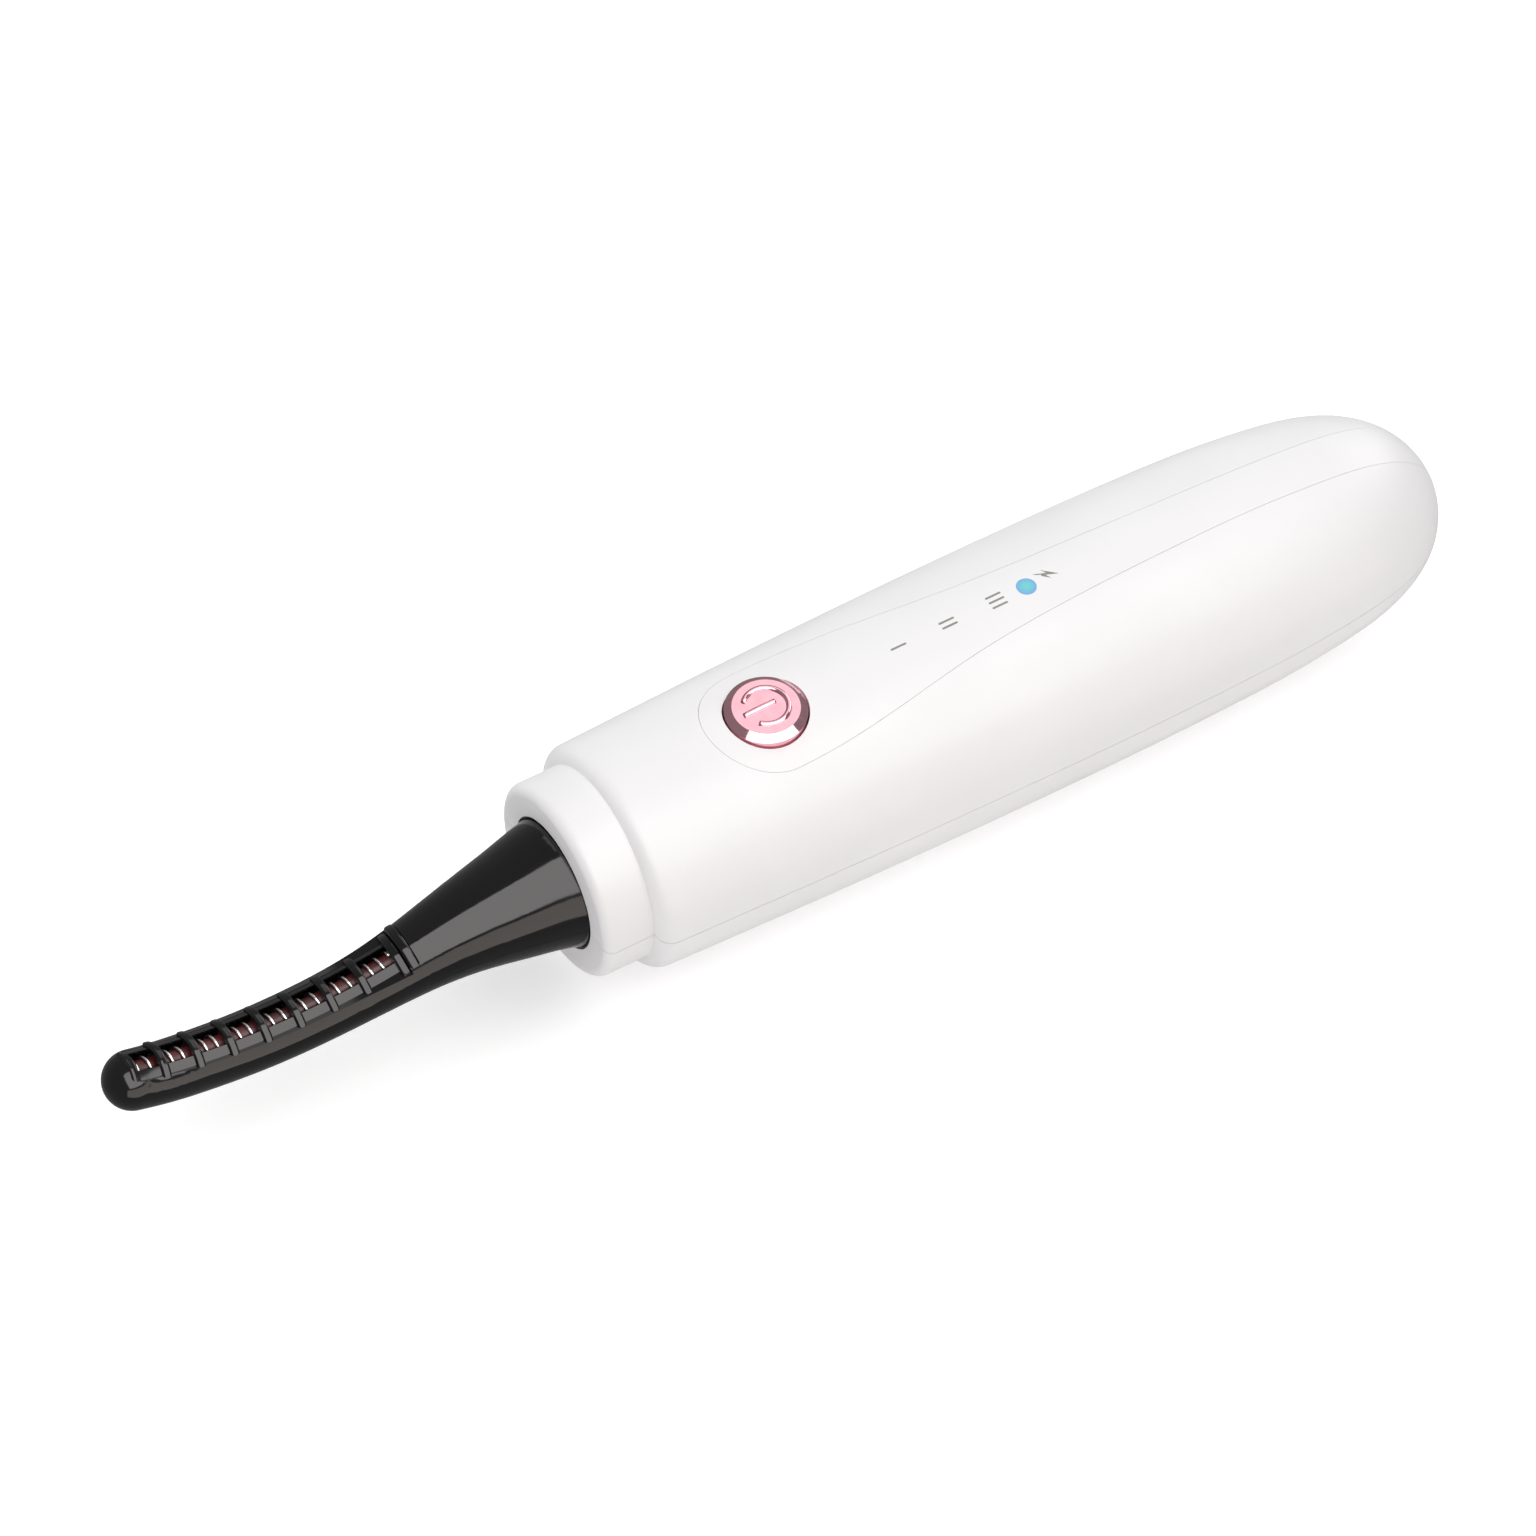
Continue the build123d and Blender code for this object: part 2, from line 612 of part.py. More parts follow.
# --- main board ---------------------------------------------------------------
with BuildPart() as main_board:
    with BuildSketch(level(BOARD_BOTTOM)):
        with Locations(((BOARD_START + BOARD_END) / 2, 0)):
            RectangleRounded(BOARD_END - BOARD_START, 2 * BOARD_HALF_WIDTH, 1.0)
        for screw_station in SCREW_STATIONS:
            with Locations((screw_station, SCREW_SPREAD), (screw_station, -SCREW_SPREAD)):
                Circle(SCREW_RADIUS + 2 * FIT_GAP, mode=Mode.SUBTRACT)
    extrude(amount=BOARD_THICKNESS)
save("main_board", main_board.part)

with BuildPart() as board_chips:
    with Locations(spot(20.5, 0, BOARD_BOTTOM), spot(28.5, 0, BOARD_BOTTOM)):
        Box(4.9, 3.9, 1.4, align=DOWN)
    with Locations(spot(36.5, 0, BOARD_TOP)):
        Box(2.9, 1.6, 1.1, align=UP)
save("board_chips", board_chips.part)

with BuildPart() as board_passives:
    for station in (33.0, 40.5, 44.5):
        with Locations(spot(station, 3.2, BOARD_TOP), spot(station, -3.2, BOARD_TOP)):
            Box(1.6, 0.8, 0.6, align=UP)
save("board_passives", board_passives.part)

with BuildPart() as board_screws:
    for station in SCREW_STATIONS:
        for side in (-SCREW_SPREAD, SCREW_SPREAD):
            with Locations(spot(station, side, BOARD_BOTTOM)):
                Cylinder(SCREW_RADIUS, BOARD_THICKNESS + 2.4, align=UP)
                Cylinder(SCREW_HEAD_RADIUS, 0.9, align=DOWN)
            with Locations(spot(station, side, BOARD_BOTTOM - 0.9)):
                Box(1.8, 0.35, 0.4, align=UP, mode=Mode.SUBTRACT)
                Box(0.35, 1.8, 0.4, align=UP, mode=Mode.SUBTRACT)
save("board_screws", board_screws.part)

# --- battery ------------------------------------------------------------------
with BuildPart() as battery_cell:
    with BuildSketch(Plane(origin=spot(CELL_START, 0, CELL_HEIGHT), x_dir=(0, 1, 0), z_dir=(1, 0, 0))):
        Circle(CELL_RADIUS)
    extrude(amount=CELL_LENGTH)
    fillet(battery_cell.edges().filter_by(GeomType.CIRCLE), radius=0.5)
save("battery_cell", battery_cell.part)

with BuildPart() as battery_tabs:
    for station, align in (
        (CELL_START, (Align.MAX,) + UP[1:]),
        (CELL_START + CELL_LENGTH, (Align.MIN,) + UP[1:]),
    ):
        with Locations(spot(station, 0, CELL_HEIGHT - 2.5)):
            Box(TAB_THICKNESS, 3.0, 5.0, align=align)
save("battery_tabs", battery_tabs.part)

with BuildPart() as battery_pad:
    with Locations(spot(47.5, 0, BOARD_BOTTOM)):
        Box(14.0, 6.0, 2.6, align=DOWN)
    add(battery_cell.part, mode=Mode.SUBTRACT)
save("battery_pad", battery_pad.part)

CELL_LEAD = 0.9
over_board = BOARD_TOP + CELL_LEAD / 2
front_tab = CELL_START - TAB_THICKNESS - CELL_LEAD / 2 - FIT_GAP
rear_tab = CELL_START + CELL_LENGTH + TAB_THICKNESS + CELL_LEAD / 2 + FIT_GAP

with BuildPart() as battery_leads:
    front_route = [
        (front_tab, 0, -3.5),
        (front_tab, 0, -0.8),
        (front_tab - 1.2, 0, 1.6),
        (front_tab - 0.8, 0, BOARD_BOTTOM),
    ]
    rear_route = [
        (rear_tab, 0, -3.0),
        (rear_tab + 0.3, 0, 1.0),
        (rear_tab, 0, 5.0),
        (rear_tab - 6.0, 0, over_board + 0.7),
        (rear_tab - 14.0, 0, over_board + 0.1),
        (BOARD_END - 3.0, 0, over_board),
    ]
    add(lead(front_route, CELL_LEAD))
    add(lead(rear_route, CELL_LEAD))
save("battery_leads", battery_leads.part)

# --- charging socket ------------------------------------------------------------
with BuildPart() as charge_board:
    with BuildSketch(level(CHARGE_BOARD_TOP - BOARD_THICKNESS)):
        with Locations(((CHARGE_BOARD_START + CHARGE_BOARD_END) / 2, 0)):
            RectangleRounded(CHARGE_BOARD_END - CHARGE_BOARD_START, 2 * CHARGE_BOARD_HALF_WIDTH, 0.6)
    extrude(amount=BOARD_THICKNESS)
save("charge_board", charge_board.part)

BACK_WALL = 0.5

with BuildPart() as usb_socket:
    with BuildSketch(across(SOCKET_REAR)):
        SlotOverall(SOCKET_WIDTH, SOCKET_THICKNESS)
    extrude(amount=SOCKET_MOUTH - SOCKET_REAR)
    with BuildSketch(across(SOCKET_REAR + BACK_WALL)):
        SlotOverall(*SOCKET_OPENING)
    extrude(amount=SOCKET_MOUTH, mode=Mode.SUBTRACT)
save("usb_socket", usb_socket.part)

with BuildPart() as usb_tongue:
    with Locations(spot(SOCKET_REAR + BACK_WALL, 0, 0)):
        Box(1.0, 7.2, 2.0, align=BACK)
        Box(SOCKET_MOUTH - SOCKET_REAR - BACK_WALL - 0.6, 6.69, 0.7, align=BACK)
save("usb_tongue", usb_tongue.part)

with BuildPart() as charge_leads:
    for side in (-2.4, 2.4):
        charge_route = [
            (85.4, side, CHARGE_BOARD_TOP + LEAD_DIAMETER / 2),
            (82.6, side, CHARGE_BOARD_TOP + LEAD_DIAMETER / 2 + 0.4),
            (81.2, side, 2.4),
            (78.0, side, 5.0),
            (70.0, side, BOARD_TOP + LEAD_DIAMETER / 2 + 0.2),
            (62.5, side, BOARD_TOP + LEAD_DIAMETER / 2),
            (BOARD_END - 3.0, side, BOARD_TOP + LEAD_DIAMETER / 2),
        ]
        add(lead(charge_route, LEAD_DIAMETER))
save("charge_leads", charge_leads.part)
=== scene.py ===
"""Looks of the heated eyelash curler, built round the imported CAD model.

Metres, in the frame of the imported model: +X from the comb head to the tail, +Z up
through the power button, and the floor at Z = 0.
"""

from math import asin, cos, pi, radians, sin

import bmesh
import bpy
from mathutils import Matrix, Vector
from mathutils.bvhtree import BVHTree


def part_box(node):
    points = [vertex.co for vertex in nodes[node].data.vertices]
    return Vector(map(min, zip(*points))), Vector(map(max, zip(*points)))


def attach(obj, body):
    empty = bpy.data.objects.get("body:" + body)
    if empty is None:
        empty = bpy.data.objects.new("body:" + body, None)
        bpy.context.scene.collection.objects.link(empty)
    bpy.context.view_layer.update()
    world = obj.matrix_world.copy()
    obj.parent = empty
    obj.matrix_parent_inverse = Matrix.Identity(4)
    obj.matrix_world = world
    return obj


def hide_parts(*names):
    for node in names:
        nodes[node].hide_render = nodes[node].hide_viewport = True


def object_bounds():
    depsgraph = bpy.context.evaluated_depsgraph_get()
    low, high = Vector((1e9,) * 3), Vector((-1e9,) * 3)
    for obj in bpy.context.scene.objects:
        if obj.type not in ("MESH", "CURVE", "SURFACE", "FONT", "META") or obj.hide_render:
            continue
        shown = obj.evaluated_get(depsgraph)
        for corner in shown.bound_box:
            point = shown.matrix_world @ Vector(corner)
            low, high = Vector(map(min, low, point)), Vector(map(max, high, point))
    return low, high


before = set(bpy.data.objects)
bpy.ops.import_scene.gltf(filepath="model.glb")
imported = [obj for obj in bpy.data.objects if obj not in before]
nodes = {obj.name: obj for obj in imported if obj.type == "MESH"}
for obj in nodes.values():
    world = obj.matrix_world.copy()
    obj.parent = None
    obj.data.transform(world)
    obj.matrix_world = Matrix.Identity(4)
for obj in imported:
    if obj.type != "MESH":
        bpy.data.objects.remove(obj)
cad_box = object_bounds()

MM = 0.001

# --- places worked out from the frame ----------------------------------------
HEAD_LENGTH = 45.2 * MM
AXIS_HEIGHT = 11.03 * MM
FRONT_X = cad_box[0][0] + HEAD_LENGTH
LIGHT_RADIUS = 0.95 * MM


def middle(node):
    """Centre of a CAD node's box."""
    low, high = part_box(node)
    return (Vector(low) + Vector(high)) / 2


button_centre = middle("power_button")
light_centre = middle("light_pipe")


# --- materials ------------------------------------------------------------------
def new_material(name):
    """Empty node material, and its shader."""
    material = bpy.data.materials.new(name)
    material.use_nodes = True
    shader = material.node_tree.nodes["Principled BSDF"]
    return material, shader


def add_node(material, kind, inputs=None, **settings):
    """New node with its settings and its unlinked inputs."""
    node = material.node_tree.nodes.new(kind)
    for key, value in settings.items():
        setattr(node, key, value)
    for key, value in (inputs or {}).items():
        node.inputs[key].default_value = value
    return node


def link(material, source, target):
    material.node_tree.links.new(source, target)


def noise(material, scale, detail=2.0, stretch=(1, 1, 1)):
    """Object-space noise, as fine as scale per metre."""
    place = add_node(material, "ShaderNodeTexCoord")
    mapping = add_node(material, "ShaderNodeMapping", {"Scale": stretch})
    texture = add_node(material, "ShaderNodeTexNoise", {"Scale": scale, "Detail": detail})
    link(material, place.outputs["Object"], mapping.inputs["Vector"])
    link(material, mapping.outputs["Vector"], texture.inputs["Vector"])
    return texture.outputs["Fac"]


def ramp(material, source, low, high, start=0.0, end=1.0):
    """Colour or grey that runs from low to high as the source runs from start to end."""
    node = add_node(material, "ShaderNodeValToRGB")
    for stop, place, value in zip(node.color_ramp.elements, (start, end), (low, high)):
        stop.position = place
        stop.color = (value, value, value, 1) if isinstance(value, float) else (*value, 1)
    link(material, source, node.inputs["Fac"])
    return node.outputs["Color"]


def bump(material, shader, source, depth):
    """Relief of that depth in metres."""
    node = add_node(material, "ShaderNodeBump", {"Distance": depth, "Strength": 1.0})
    link(material, source, node.inputs["Height"])
    link(material, node.outputs["Normal"], shader.inputs["Normal"])


def moulded(name, dark, light, rough, texture_depth=2e-6):
    """Moulded plastic: slight mottling in colour and gloss, and a faint orange peel."""
    material, shader = new_material(name)
    mottle = noise(material, 90.0, 3.0)
    link(material, ramp(material, mottle, dark, light, 0.3, 0.7), shader.inputs["Base Color"])
    smears = noise(material, 260.0, 4.0, (0.25, 1, 1))
    link(material, ramp(material, smears, *rough, 0.35, 0.65), shader.inputs["Roughness"])
    bump(material, shader, noise(material, 1400.0, 2.0), texture_depth)
    return material


def metal(name, dark, light, rough, stretch=(1, 1, 1), scale=900.0, depth=1e-6):
    """Metal with drawn or polished streaks along the stretched direction."""
    material, shader = new_material(name)
    streaks = noise(material, scale, 4.0, stretch)
    link(material, ramp(material, streaks, dark, light, 0.3, 0.7), shader.inputs["Base Color"])
    link(material, ramp(material, streaks, *rough, 0.3, 0.7), shader.inputs["Roughness"])
    bump(material, shader, streaks, depth)
    shader.inputs["Metallic"].default_value = 1.0
    return material


def glowing():
    """Lit light pipe: pale cyan in the middle and blue towards the rim."""
    material, shader = new_material("lit_pipe")
    place = add_node(material, "ShaderNodeTexCoord")
    centre = (-light_centre.x, -light_centre.y, 0)
    mapping = add_node(material, "ShaderNodeMapping", {"Location": centre, "Scale": (1, 1, 0)})
    distance = add_node(material, "ShaderNodeVectorMath", operation="LENGTH")
    reach = add_node(material, "ShaderNodeMath", {1: 1.0 / LIGHT_RADIUS}, operation="MULTIPLY")
    link(material, place.outputs["Object"], mapping.inputs["Vector"])
    link(material, mapping.outputs["Vector"], distance.inputs[0])
    link(material, distance.outputs["Value"], reach.inputs[0])
    colour = ramp(material, reach.outputs[0], (0.14, 0.47, 0.48), (0.15, 0.33, 0.57), 0.3, 0.95)
    link(material, colour, shader.inputs["Emission Color"])
    link(material, colour, shader.inputs["Base Color"])
    shader.inputs["Emission Strength"].default_value = 0.3
    shader.inputs["Roughness"].default_value = 0.6
    shader.inputs["Specular IOR Level"].default_value = 0.1
    return material


white = moulded(
    "white_gloss", (0.79, 0.78, 0.785), (0.81, 0.8, 0.805), (0.38, 0.48), texture_depth=1.5e-6
)
black = moulded(
    "black_gloss", (0.004, 0.004, 0.004), (0.006, 0.0058, 0.006), (0.06, 0.12), texture_depth=1.5e-6
)
rose = metal("rose_chrome", (0.86, 0.45, 0.52), (0.92, 0.52, 0.58), (0.05, 0.1))
wire = metal("heater_wire", (0.62, 0.62, 0.62), (0.85, 0.85, 0.84), (0.16, 0.28), scale=2500.0)
core_red = moulded(
    "red_varnish", (0.03, 0.002, 0.003), (0.08, 0.006, 0.008), (0.3, 0.45), texture_depth=2e-5
)
ceramic = moulded(
    "dark_ceramic", (0.05, 0.045, 0.045), (0.09, 0.085, 0.08), (0.45, 0.6), texture_depth=1e-5
)
ink = moulded("grey_ink", (0.19, 0.19, 0.17), (0.3, 0.3, 0.27), (0.5, 0.6))
jacket = moulded("lead_jacket", (0.35, 0.02, 0.02), (0.45, 0.03, 0.03), (0.4, 0.5))
solder_mask = moulded(
    "solder_mask", (0.01, 0.10, 0.04), (0.02, 0.16, 0.07), (0.25, 0.35), texture_depth=1e-5
)
chip = moulded(
    "chip_body", (0.02, 0.02, 0.02), (0.035, 0.035, 0.035), (0.5, 0.65), texture_depth=1e-5
)
fired = moulded("fired_ceramic", (0.32, 0.24, 0.17), (0.42, 0.33, 0.24), (0.4, 0.55))
pale_plastic = moulded("pale_plastic", (0.6, 0.6, 0.58), (0.68, 0.68, 0.66), (0.35, 0.45))
shrink_wrap = moulded(
    "shrink_wrap", (0.02, 0.10, 0.25), (0.03, 0.14, 0.32), (0.2, 0.35), texture_depth=1e-5
)
foam = moulded("foam", (0.03, 0.03, 0.03), (0.07, 0.07, 0.07), (0.8, 0.95), texture_depth=1e-4)
steel = metal("satin_steel", (0.5, 0.5, 0.5), (0.66, 0.66, 0.65), (0.25, 0.38), (0.2, 1, 1))
nickel = metal("nickel", (0.55, 0.53, 0.48), (0.68, 0.66, 0.6), (0.25, 0.4))

CAD_LOOKS = {
    "upper_housing": white,
    "lower_housing": white,
    "top_panel": white,
    "head_upper": black,
    "head_lower": black,
    "comb_guard": black,
    "heating_core": core_red,
    "heating_coil": wire,
    "rear_insulator": ceramic,
    "tip_insulator": ceramic,
    "heater_leads": jacket,
    "battery_leads": jacket,
    "charge_leads": jacket,
    "main_board": solder_mask,
    "charge_board": solder_mask,
    "board_chips": chip,
    "board_passives": fired,
    "board_screws": steel,
    "indicator_led": pale_plastic,
    "light_pipe": glowing(),
    "switch_body": chip,
    "switch_plunger": pale_plastic,
    "battery_cell": shrink_wrap,
    "battery_tabs": nickel,
    "battery_pad": foam,
    "usb_socket": steel,
    "usb_tongue": chip,
    "power_button": rose,
}
for name, look in CAD_LOOKS.items():
    nodes[name].data.materials.clear()
    nodes[name].data.materials.append(look)


# --- small mesh helpers -----------------------------------------------------------
def new_piece(name, mesh, look, body):
    """Object that rides on a body."""
    piece = bpy.data.objects.new(name, mesh)
    bpy.context.scene.collection.objects.link(piece)
    mesh.materials.clear()
    mesh.materials.append(look)
    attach(piece, body)
    return piece


def tube(name, points, radius, look, body, sides=12):
    """Round tube through points, with frames carried along it without twist."""
    mesh = bmesh.new()
    rings = []
    across = None
    for index, point in enumerate(points):
        ahead = points[min(index + 1, len(points) - 1)]
        behind = points[max(index - 1, 0)]
        along = (ahead - behind).normalized()
        if across is None:
            across = along.orthogonal().normalized()
        across = (across - along * across.dot(along)).normalized()
        other = along.cross(across)
        ring = []
        for side in range(sides):
            turn = 2 * pi * side / sides
            ring.append(mesh.verts.new(point + radius * (cos(turn) * across + sin(turn) * other)))
        rings.append(ring)
    for first, second in zip(rings, rings[1:]):
        for side in range(sides):
            corner = (side + 1) % sides
            mesh.faces.new((first[side], first[corner], second[corner], second[side]))
    mesh.faces.new(reversed(rings[0]))
    mesh.faces.new(rings[-1])
    data = bpy.data.meshes.new(name)
    mesh.to_mesh(data)
    mesh.free()
    data.shade_smooth()
    return new_piece(name, data, look, body)


def surface_of(node):
    """Function that drops a point straight down onto a CAD node's surface."""
    mesh = nodes[node].data
    tree = BVHTree.FromPolygons([v.co for v in mesh.vertices], [p.vertices for p in mesh.polygons])

    def drop(x, y):
        hit = tree.ray_cast(Vector((x, y, 1)), Vector((0, 0, -1)))
        return hit[0].z

    return drop


# --- heating coil ------------------------------------------------------------------
NECK_START = -2.35 * MM
NECK_RUN = 13.15 * MM
DIP_ANGLE = radians(11.9)
LID_RADIUS = 52.0 * MM
LOW_STATION = NECK_START - NECK_RUN - LID_RADIUS * sin(DIP_ANGLE)
LOW_HEIGHT = -(NECK_RUN / sin(DIP_ANGLE) + LID_RADIUS) * (1 - cos(DIP_ANGLE))
CORE_LIFT = 1.2 * MM
COIL_START = -16.35 * MM
COIL_PITCH = 1.15 * MM
COIL_TURNS = 23
COIL_RADIUS = 1.03 * MM
WIRE_RADIUS = 0.15 * MM


def lid_frame(station, lift=0.0):
    """Point on the comb's curved centreline, and its direction towards the open side."""
    tilt = asin((LOW_STATION - station) / LID_RADIUS)
    open_side = Vector((sin(tilt), 0, cos(tilt)))
    centre = Vector((FRONT_X + LOW_STATION, 0, AXIS_HEIGHT + LOW_HEIGHT + LID_RADIUS))
    return centre - open_side * (LID_RADIUS - lift), open_side


def coil_points(steps=20):
    """Helix round the core, a little uneven in pitch as a hand-wound wire is."""
    points = []
    for step in range(COIL_TURNS * steps + 1):
        turn = step / steps
        wander = 0.05 * sin(1.7 * turn) + 0.03 * sin(4.1 * turn + 1.0)
        point, open_side = lid_frame(COIL_START - (turn + wander) * COIL_PITCH, CORE_LIFT)
        angle = 2 * pi * turn
        side = Vector((0, 1, 0))
        points.append(point + COIL_RADIUS * (cos(angle) * open_side + sin(angle) * side))
    return points


coil = tube("coil_wire", coil_points(), WIRE_RADIUS, wire, "handle", sides=10)
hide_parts("heating_coil")

# --- printed marks -------------------------------------------------------------------
MARK_LENGTH = 1.65 * MM
MARK_WIDTH = 0.22 * MM
MARK_PITCH = 0.63 * MM
INK_THICKNESS = 0.012 * MM
MARK_STATIONS = (35.9 * MM, 41.2 * MM, 46.4 * MM)
BOLT_CENTRE = (51.95 * MM, 0.35 * MM)
on_panel = surface_of("top_panel")


def ink_patch(name, outline):
    """Thin ink film on the panel, inside an outline of (x, y) points."""
    mesh = bmesh.new()
    top = [mesh.verts.new((x, y, on_panel(x, y) + INK_THICKNESS)) for x, y in outline]
    foot = [mesh.verts.new((x, y, on_panel(x, y) - INK_THICKNESS)) for x, y in outline]
    mesh.faces.new(top)
    for index in range(len(top)):
        after = (index + 1) % len(top)
        mesh.faces.new((top[index], foot[index], foot[after], top[after]))
    mesh.faces.new(reversed(foot))
    bmesh.ops.recalc_face_normals(mesh, faces=mesh.faces)
    data = bpy.data.meshes.new(name)
    mesh.to_mesh(data)
    mesh.free()
    piece = new_piece(name, data, ink, "handle")
    return piece


def stroke(x, y, length, width, steps=6):
    """Outline of a straight stroke along X with round ends."""
    points = []
    for end in (1, -1):
        for step in range(steps + 1):
            turn = radians(-90 + 180 * step / steps)
            tip = length / 2 - width / 2 + width / 2 * cos(turn)
            points.append((x + end * tip, y + end * width / 2 * sin(turn)))
    return points


for count, station in enumerate(MARK_STATIONS, start=1):
    for index in range(count):
        offset = (index - (count - 1) / 2) * MARK_PITCH
        outline = stroke(FRONT_X + station, offset, MARK_LENGTH, MARK_WIDTH)
        ink_patch(f"level_{count}_mark_{index + 1}", outline)

# half outline of the charging bolt, in millimetres from its centre; its half turn is the rest
BOLT_HALF = [(-1.08, 0.55), (0.1, 0.07), (-0.2, 0.65)]
bolt = BOLT_HALF + [(-x, -y) for x, y in BOLT_HALF]
bolt = [(FRONT_X + BOLT_CENTRE[0] + x * MM, BOLT_CENTRE[1] + y * MM) for x, y in bolt]
ink_patch("charge_bolt", bolt)

# --- lens of the indicator light ----------------------------------------------------------
LENS_RISE = 0.06 * MM
LENS_RIM = 0.012 * MM
LENS_FOOT = -0.1 * MM
LENS_SIDES = 40


def lens():
    """Low dome on the light pipe, which stands just proud of the panel."""
    mesh = bmesh.new()
    x, y = light_centre.x, light_centre.y
    crown = mesh.verts.new((x, y, on_panel(x, y) + LENS_RIM + LENS_RISE))
    steps = [(share, LENS_RIM + LENS_RISE * (1 - share**2)) for share in (0.25, 0.5, 0.75, 1.0)]
    rings = []
    for share, lift in steps + [(1.0, LENS_FOOT)]:
        ring = []
        for side in range(LENS_SIDES):
            turn = 2 * pi * side / LENS_SIDES
            place = (x + share * LIGHT_RADIUS * cos(turn), y + share * LIGHT_RADIUS * sin(turn))
            ring.append(mesh.verts.new((*place, on_panel(*place) + lift)))
        rings.append(ring)
    for side in range(LENS_SIDES):
        corner = (side + 1) % LENS_SIDES
        mesh.faces.new((crown, rings[0][side], rings[0][corner]))
        for inner, outer in zip(rings, rings[1:]):
            mesh.faces.new((inner[side], outer[side], outer[corner], inner[corner]))
    mesh.faces.new(reversed(rings[-1]))
    bmesh.ops.recalc_face_normals(mesh, faces=mesh.faces)
    data = bpy.data.meshes.new("light_lens")
    mesh.to_mesh(data)
    mesh.free()
    return new_piece("light_lens", data, CAD_LOOKS["light_pipe"], "handle")


lens()

# --- power symbol on the button ---------------------------------------------------------
SYMBOL_RADIUS = 2.05 * MM
SYMBOL_STROKE = 0.28 * MM
SYMBOL_GAP = radians(41)
ARC_STEPS = 48
BAR_START = -2.3 * MM
BAR_LENGTH = 3.2 * MM
BAR_STEPS = 16
on_button = surface_of("power_button")


def on_cap(x, y):
    """Point on the button's crown, from its centre, for the middle of a raised stroke."""
    place = button_centre + Vector((x, y, 0))
    return Vector((place.x, place.y, on_button(place.x, place.y) - 0.1 * SYMBOL_STROKE))


arc_points = []
for step in range(ARC_STEPS + 1):
    turn = -pi + SYMBOL_GAP + (2 * pi - 2 * SYMBOL_GAP) * step / ARC_STEPS
    arc_points.append(on_cap(SYMBOL_RADIUS * cos(turn), SYMBOL_RADIUS * sin(turn)))
bar_points = [on_cap(BAR_START + BAR_LENGTH * step / BAR_STEPS, 0) for step in range(BAR_STEPS + 1)]
for name, points in (("power_arc", arc_points), ("power_bar", bar_points)):
    tube(name, points, SYMBOL_STROKE, rose, "button")

# --- floor and light ----------------------------------------------------------------------
FLOOR_REACH = 3.0
FLOOR_GAP = 0.05 * MM
floor_mesh = bpy.data.meshes.new("floor")
corners = [(-1, -1), (1, -1), (1, 1), (-1, 1)]
floor_corners = [(x * FLOOR_REACH, y * FLOOR_REACH, 0) for x, y in corners]
floor_mesh.from_pydata(floor_corners, [], [(0, 1, 2, 3)])
floor = bpy.data.objects.new("floor", floor_mesh)
bpy.context.scene.collection.objects.link(floor)
floor.location.z = -FLOOR_GAP
floor_look, floor_shader = new_material("pale_floor")
floor_colour = ramp(floor_look, noise(floor_look, 8.0), 0.93, 0.95)
link(floor_look, floor_colour, floor_shader.inputs["Base Color"])
link(floor_look, floor_colour, floor_shader.inputs["Emission Color"])
floor_shader.inputs["Emission Strength"].default_value = 0.32
floor_shader.inputs["Roughness"].default_value = 0.9
floor_shader.inputs["Specular IOR Level"].default_value = 0.0
floor_mesh.materials.append(floor_look)
floor.visible_glossy = False

world = bpy.data.worlds.new("studio")
world.use_nodes = True
world.node_tree.nodes["Background"].inputs["Color"].default_value = (1.0, 1.0, 1.0, 1)
world.node_tree.nodes["Background"].inputs["Strength"].default_value = 0.25
bpy.context.scene.world = world


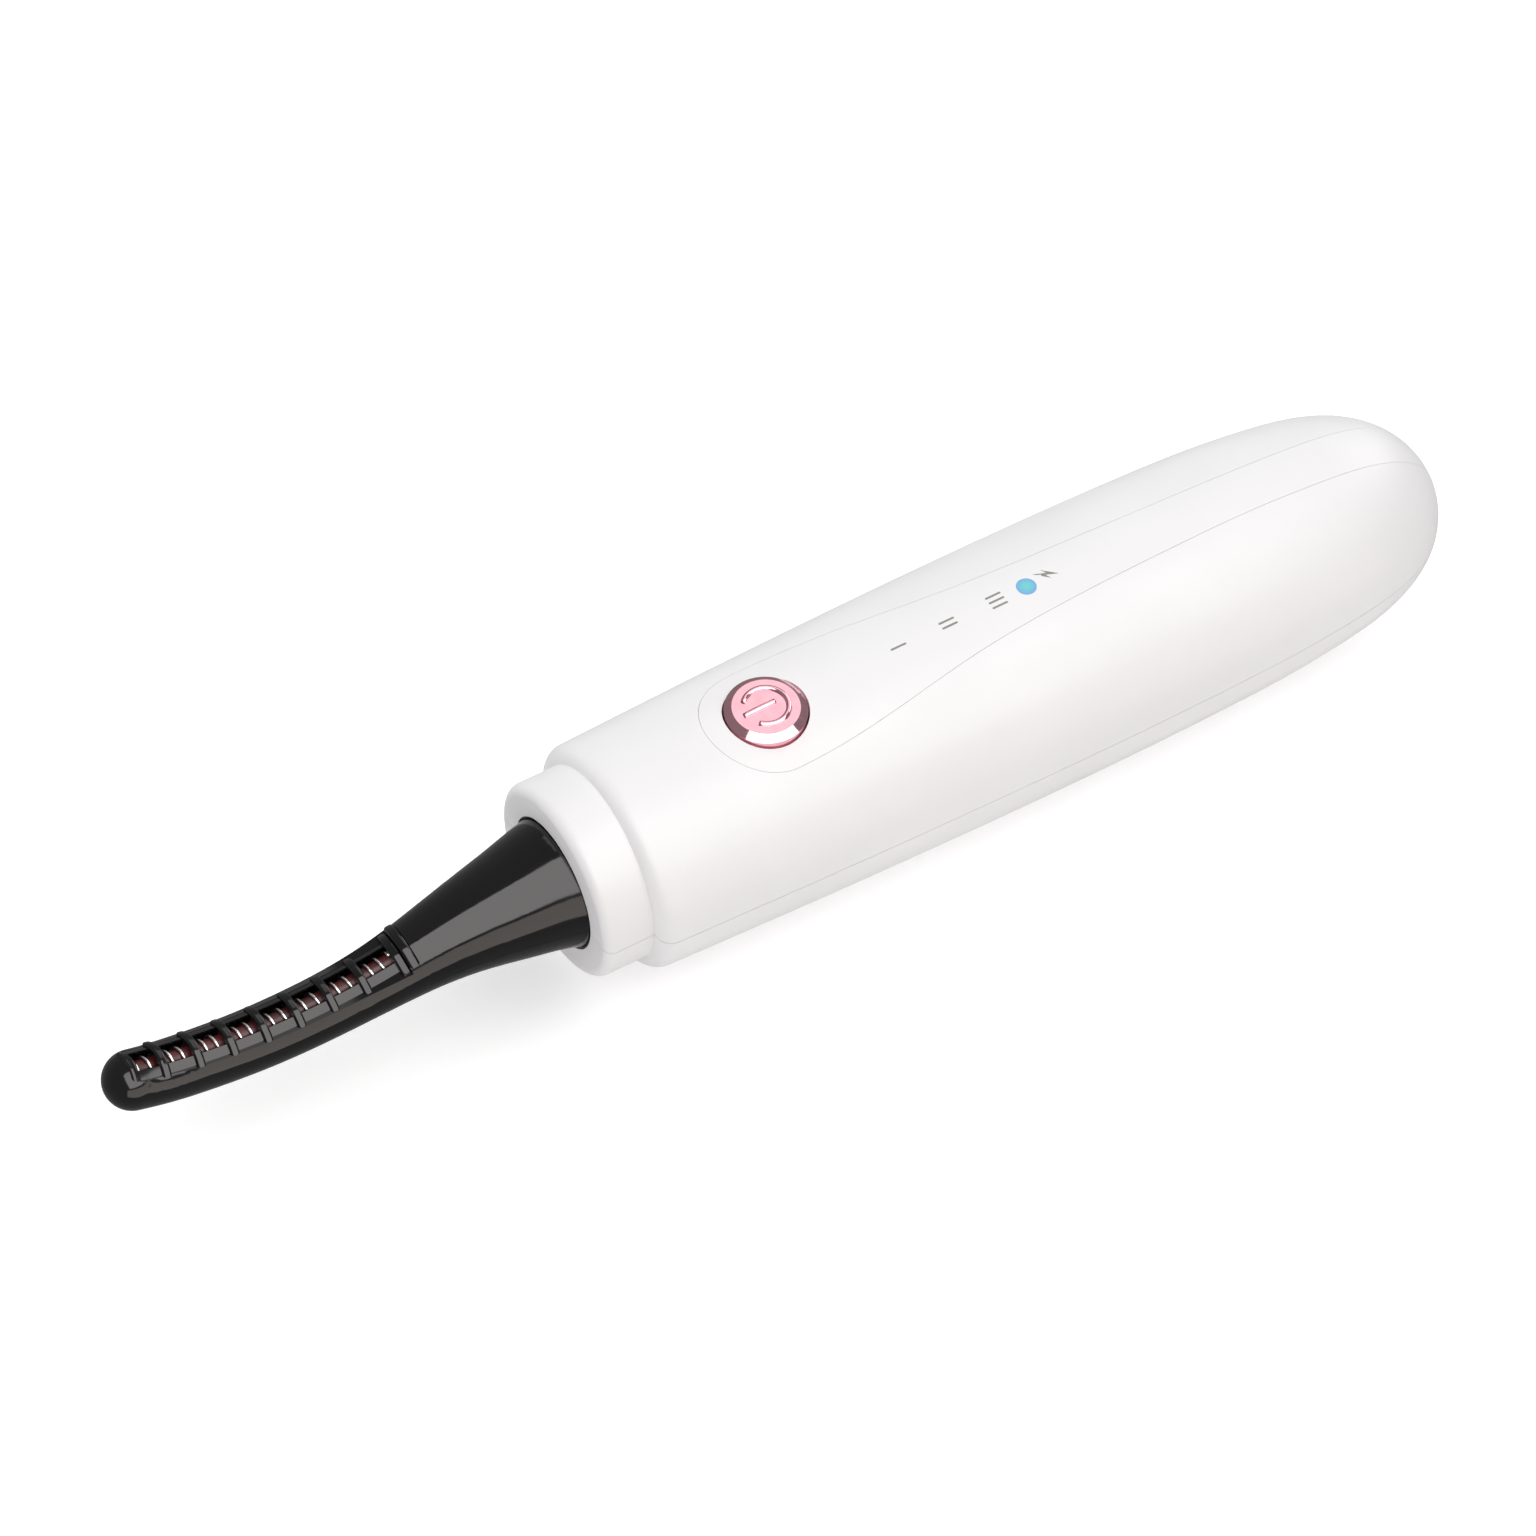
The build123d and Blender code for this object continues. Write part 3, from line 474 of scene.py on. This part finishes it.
def softbox(name, direction, distance, size, glow, shine, tint=(1.0, 1.0, 1.0)):
    """Rectangular light in a direction from the object.

    glow is the radiance with which it lights matt surfaces, and shine the radiance of its
    image in glossy ones, as if a flag or a grid stood before it.
    """
    facing = Vector(direction).normalized()
    along = (Vector((1, 0, 0)) - facing * facing.x).normalized()
    turn = Matrix((along, facing.cross(along), facing)).transposed().to_4x4()
    for kind, radiance, reach in (("glow", glow, distance), ("shine", shine, 0.98 * distance)):
        if radiance:
            data = bpy.data.lights.new(f"{name}_{kind}", "AREA")
            data.shape = "RECTANGLE"
            data.size, data.size_y = size
            data.energy = radiance * pi * size[0] * size[1]
            data.color = tint
            lamp = bpy.data.objects.new(f"{name}_{kind}", data)
            place = facing * reach + Vector((0, 0, AXIS_HEIGHT))
            lamp.matrix_world = Matrix.Translation(place) @ turn
            lamp.visible_diffuse = kind == "glow"
            lamp.visible_glossy = kind == "shine"
            bpy.context.scene.collection.objects.link(lamp)


WARM = (1.0, 0.9, 0.85)
softbox("overhead", (0, 0.1, 1), 0.7, (1.8, 1.2), glow=1.22, shine=0)
softbox("near", (0, -0.53, 0.85), 0.6, (1.0, 0.75), glow=0.2, shine=3.6, tint=(1.0, 0.97, 0.96))
softbox("near_low", (0, -0.98, 0.18), 0.8, (1.6, 0.36), glow=0.75, shine=0, tint=WARM)
softbox("low_band", (0, -1, 0.02), 0.8, (1.6, 0.5), glow=0, shine=1.7, tint=WARM)
softbox("far", (0, 0.85, 0.5), 0.7, (1.2, 0.5), glow=0.65, shine=0)
softbox("tail_strip", (0.88, 0.28, 0.42), 0.6, (0.16, 0.5), glow=0, shine=3.5)
softbox("tail_card", (0.36, 0.46, 0.81), 0.6, (0.4, 0.4), glow=0, shine=0.95)

# --- camera --------------------------------------------------------------------------------
LENS = 150.0
right = Vector((0.8499, -0.5259, 0.0339)).normalized()
towards = Vector((-0.3453, -0.5070, 0.7897)).normalized()
up = towards.cross(right).normalized()
right = up.cross(towards)
camera_data = bpy.data.cameras.new("camera")
camera_data.lens = LENS
camera_data.sensor_width = 36.0
camera_data.clip_end = 10.0
camera = bpy.data.objects.new("camera", camera_data)
collar_point = Vector((FRONT_X, 0, AXIS_HEIGHT))
camera_place = collar_point + Vector((-176.8, -292.6, 457.9)) * MM
rotation = Matrix((right, up, towards)).transposed().to_4x4()
camera.matrix_world = Matrix.Translation(camera_place) @ rotation
bpy.context.scene.collection.objects.link(camera)
bpy.context.scene.camera = camera
bpy.context.scene.view_settings.view_transform = "Standard"
